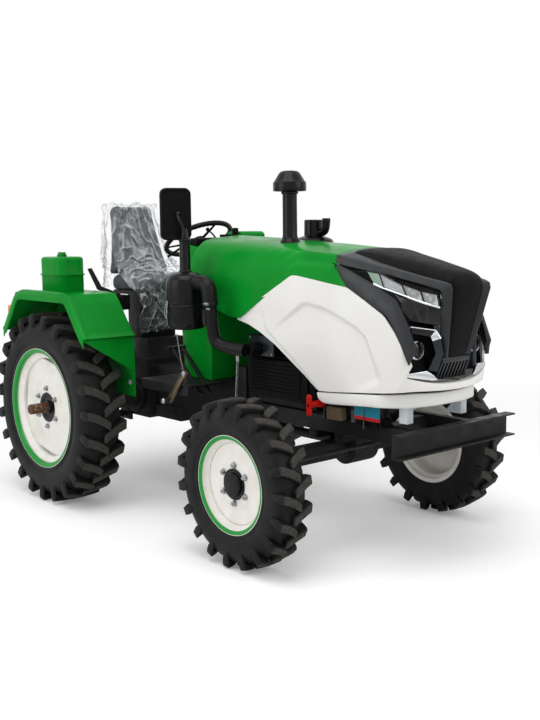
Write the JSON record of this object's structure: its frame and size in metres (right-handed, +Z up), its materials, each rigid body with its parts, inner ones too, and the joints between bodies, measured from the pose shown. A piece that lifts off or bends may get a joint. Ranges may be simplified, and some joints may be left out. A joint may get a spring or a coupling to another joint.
{
  "type": "compact four-wheel-drive farm tractor",
  "caption": "Compact farm tractor with open seat, tilting bonnet, lugged tyres, steered front axle and rear three-point hitch.",
  "frame": {"origin": "On the ground under the middle of the whole tractor, halfway between its ends and its sides.", "axes": "+X points forward, +Y to the driver's left and +Z up."},
  "size_m": [2.9399, 1.704, 1.7448],
  "materials": {
    "green_paint": "gloss green enamel",
    "white_panel": "gloss white",
    "black_gloss": "dark grey gloss moulding",
    "black_paint": "satin black paint",
    "white_paint": "gloss white paint",
    "engine_black": "black painted castings",
    "black_plastic": "matt black plastic",
    "tyre_rubber": "black tyre rubber",
    "duct_rubber": "black rubber",
    "lamp_lens": "clear lens over a bright reflector",
    "amber_lens": "amber lens",
    "trim_silver": "satin chrome",
    "seat_vinyl": "grey-black vinyl",
    "battery_blue": "blue case",
    "switch_red": "red handle",
    "steel": "bare steel"
  },
  "bodies": {
    "chassis": {"frame_rails": "black_paint", "front_beam": "black_paint", "apron": "white_panel", "front_axle": "black_paint", "engine": "engine_black", "engine_cover": "engine_black", "radiator": "black_paint", "battery": "battery_blue", "isolator_switch": "switch_red", "gearbox": "engine_black", "rear_axle": "engine_black", "drive_shaft": "black_paint", "footplates": "black_paint", "console": "green_paint", "dash": "black_plastic", "steering_column": "black_paint", "fenders": "green_paint", "fuel_tank": "green_paint", "tail_lamps": "amber_lens", "seat_base": "black_paint", "seat_cushion": "seat_vinyl", "seat_back": "seat_vinyl", "control_levers": "black_plastic", "pedals": "black_paint", "air_cleaner": "black_paint", "air_duct": "duct_rubber", "mirror": "black_gloss", "hitch_frame": "black_paint", "top_link": "black_paint"},
    "tilting_bonnet": {"bonnet": "green_paint", "side_panels": "white_panel", "nose_cowl": "black_gloss", "headlamps": "lamp_lens", "nose_trim": "trim_silver", "grille": "black_plastic", "stack": "black_paint", "exhaust_elbow": "engine_black"},
    "front_knuckle_left": {"knuckle_left": "black_paint"},
    "front_left": {"front_tyre_left": "tyre_rubber", "front_wheel_left": "white_paint"},
    "rear_left": {"rear_tyre_left": "tyre_rubber", "rear_wheel_left": "white_paint"},
    "front_knuckle_right": {"knuckle_right": "black_paint"},
    "front_right": {"front_tyre_right": "tyre_rubber", "front_wheel_right": "white_paint"},
    "rear_right": {"rear_tyre_right": "tyre_rubber", "rear_wheel_right": "white_paint"},
    "steering_tie_rod": {"tie_rod": "black_paint"},
    "steering": {"steering_wheel": "black_plastic"},
    "links": {"lower_links": "black_paint"},
    "arms": {"lift_arms": "black_paint"},
    "rods": {"lift_rods": "black_paint"},
    "pto": {"pto_shaft": "steel"}
  },
  "joints": [
    {"name": "bonnet_hinge", "type": "hinge", "parent": "chassis", "child": "tilting_bonnet", "pos_m": [-0.06, 0, 1.405], "axis": [0, -1, 0], "range_deg": [0, 50]},
    {"name": "steer_right", "type": "hinge", "parent": "chassis", "child": "front_knuckle_right", "pos_m": [0.745, -0.5, 0.44], "axis": [0, 0, 1], "range_deg": [-35, 35]},
    {"name": "steer_left", "type": "hinge", "parent": "chassis", "child": "front_knuckle_left", "pos_m": [0.745, 0.5, 0.44], "axis": [0, 0, 1], "range_deg": [-36, 36]},
    {"name": "tie_rod_pin", "type": "hinge", "parent": "front_knuckle_right", "child": "steering_tie_rod", "pos_m": [0.915, -0.5, 0.49], "axis": [0, 0, 1], "range_deg": [-36, 36]},
    {"name": "steering_spin", "type": "hinge", "parent": "chassis", "child": "steering", "pos_m": [-0.41, 0, 1.42], "axis": [-0.4695, 0, 0.8829], "range_deg": [-530, 530]},
    {"name": "front_left_spin", "type": "hinge", "parent": "front_knuckle_left", "child": "front_left", "pos_m": [0.745, 0.6585, 0.375], "axis": [0, 1, 0], "continuous": true},
    {"name": "rear_left_spin", "type": "hinge", "parent": "chassis", "child": "rear_left", "pos_m": [-0.82, 0.6765, 0.518], "axis": [0, 1, 0], "continuous": true},
    {"name": "front_right_spin", "type": "hinge", "parent": "front_knuckle_right", "child": "front_right", "pos_m": [0.745, -0.6585, 0.375], "axis": [0, 1, 0], "continuous": true},
    {"name": "rear_right_spin", "type": "hinge", "parent": "chassis", "child": "rear_right", "pos_m": [-0.82, -0.6765, 0.518], "axis": [0, 1, 0], "continuous": true},
    {"name": "link_lift", "type": "hinge", "parent": "chassis", "child": "links", "pos_m": [-0.93, 0, 0.4], "axis": [0, 1, 0], "range_deg": [-12, 28]},
    {"name": "arm_lift", "type": "hinge", "parent": "chassis", "child": "arms", "pos_m": [-0.93, 0, 0.73], "axis": [0, 1, 0], "range_deg": [-13, 29]},
    {"name": "rod_swing", "type": "hinge", "parent": "arms", "child": "rods", "pos_m": [-1.18, 0, 0.73], "axis": [0, 1, 0], "range_deg": [-29, 13]},
    {"name": "pto_spin", "type": "hinge", "parent": "chassis", "child": "pto", "pos_m": [-1.005, 0, 0.56], "axis": [1, 0, 0], "continuous": true}
  ],
  "couplings": [
    {"joint": "steer_left", "follows": "steer_right", "ratio": 1},
    {"joint": "tie_rod_pin", "follows": "steer_right", "ratio": -1},
    {"joint": "steering_spin", "follows": "steer_right", "ratio": 15},
    {"joint": "arm_lift", "follows": "link_lift", "ratio": 1},
    {"joint": "rod_swing", "follows": "link_lift", "ratio": -1}
  ]
}
